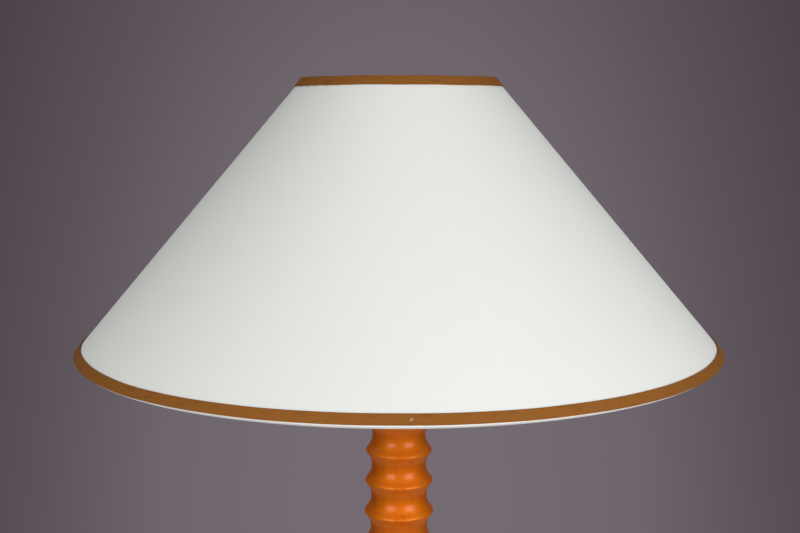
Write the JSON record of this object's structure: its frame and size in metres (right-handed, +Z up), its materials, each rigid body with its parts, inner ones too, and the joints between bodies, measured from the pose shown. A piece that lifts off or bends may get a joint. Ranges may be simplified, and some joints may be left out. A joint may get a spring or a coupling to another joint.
{
  "type": "candlestick floor lamp",
  "caption": "Ring-turned wooden candlestick floor lamp with a wide conical cloth shade on a brass harp, a turn-key socket and a weighted turned foot.",
  "frame": {"origin": "centre of the lamp's underside, on the floor", "axes": "+Z up along the lamp's axis, -Y to the front, +Y to the cord inlet, harp in the XZ plane"},
  "size_m": [0.5587, 0.5588, 1.5608],
  "materials": {
    "turned_wood": "amber-orange tinted lacquer, glossy",
    "ballast_iron": "rough cast, dark",
    "screw_steel": "zinc plated",
    "plain_steel": "plain rolled thread",
    "base_board": "pressed board, unfinished",
    "base_felt": "pressed felt",
    "black_bushing": "moulded, satin",
    "lamp_brass": "polished and lacquered",
    "fibre_sleeve": "pressed paper",
    "socket_phenolic": "moulded phenolic",
    "key_phenolic": "moulded phenolic",
    "solder_tip": "soft solder, dull",
    "bulb_insulator": "dark vitreous insulator",
    "bulb_metal": "thin rolled shell",
    "bulb_glass": "frosted white",
    "white_wire": "white powder coat",
    "shade_lining": "stiff laminated lining",
    "shade_cloth": "plain fine weave, off-white",
    "binding_tape": "white cotton tape",
    "trim_leather": "brown strip, matt"
  },
  "bodies": {
    "root": {"foot": "turned_wood", "ballast": "ballast_iron", "ballast_screws": "screw_steel", "foot_washer": "plain_steel", "foot_nut": "plain_steel", "bottom_board": "base_board", "board_screws": "screw_steel", "felt": "base_felt", "cord_bushing": "black_bushing", "bell": "turned_wood", "shaft_lower": "turned_wood", "shaft_middle": "turned_wood", "shaft_upper": "turned_wood", "drip_pan": "turned_wood", "candle_cup": "turned_wood", "brass_cap": "lamp_brass", "neck_collar": "lamp_brass", "neck_nut": "lamp_brass", "threaded_tube": "plain_steel", "harp_saddle": "lamp_brass", "harp_wire": "lamp_brass", "harp_post": "lamp_brass", "socket_cap": "lamp_brass", "socket_shell": "lamp_brass", "socket_liner": "fibre_sleeve", "socket_body": "socket_phenolic", "screw_shell": "lamp_brass", "centre_contact": "lamp_brass", "terminal_screws": "lamp_brass"},
    "shade": {"shade_spider": "white_wire", "shade_lower_ring": "white_wire", "shade_liner": "shade_lining", "shade_cover": "shade_cloth", "upper_tape": "binding_tape", "lower_tape": "binding_tape", "upper_trim": "trim_leather", "lower_trim": "trim_leather"},
    "finial": {"finial": "lamp_brass"},
    "switch_key": {"switch_key": "key_phenolic"},
    "bulb": {"bulb_tip": "solder_tip", "bulb_insulator": "bulb_insulator", "bulb_base": "bulb_metal", "bulb_globe": "bulb_glass"},
    "sleeve_left": {"harp_sleeve_left": "lamp_brass"},
    "sleeve_right": {"harp_sleeve_right": "lamp_brass"}
  },
  "joints": [
    {"name": "shade_swivel", "type": "hinge", "parent": "root", "child": "shade", "pos_m": [0, 0, 1.53198], "axis": [0, 0, 1], "continuous": true},
    {"name": "finial_turn", "type": "hinge", "parent": "root", "child": "finial", "pos_m": [0, 0, 1.53618], "axis": [0, 0, 1], "continuous": true},
    {"name": "switch_turn", "type": "hinge", "parent": "root", "child": "switch_key", "pos_m": [0, -0.0167, 1.37058], "axis": [0, -1, 0], "continuous": true},
    {"name": "bulb_turn", "type": "hinge", "parent": "root", "child": "bulb", "pos_m": [0, 0, 1.38058], "axis": [0, 0, 1], "continuous": true},
    {"name": "sleeve_left_slide", "type": "slide", "parent": "root", "child": "sleeve_left", "axis": [0, 0, 1], "range_m": [0, 0.014]},
    {"name": "sleeve_right_slide", "type": "slide", "parent": "root", "child": "sleeve_right", "axis": [0, 0, 1], "range_m": [0, 0.014]}
  ]
}
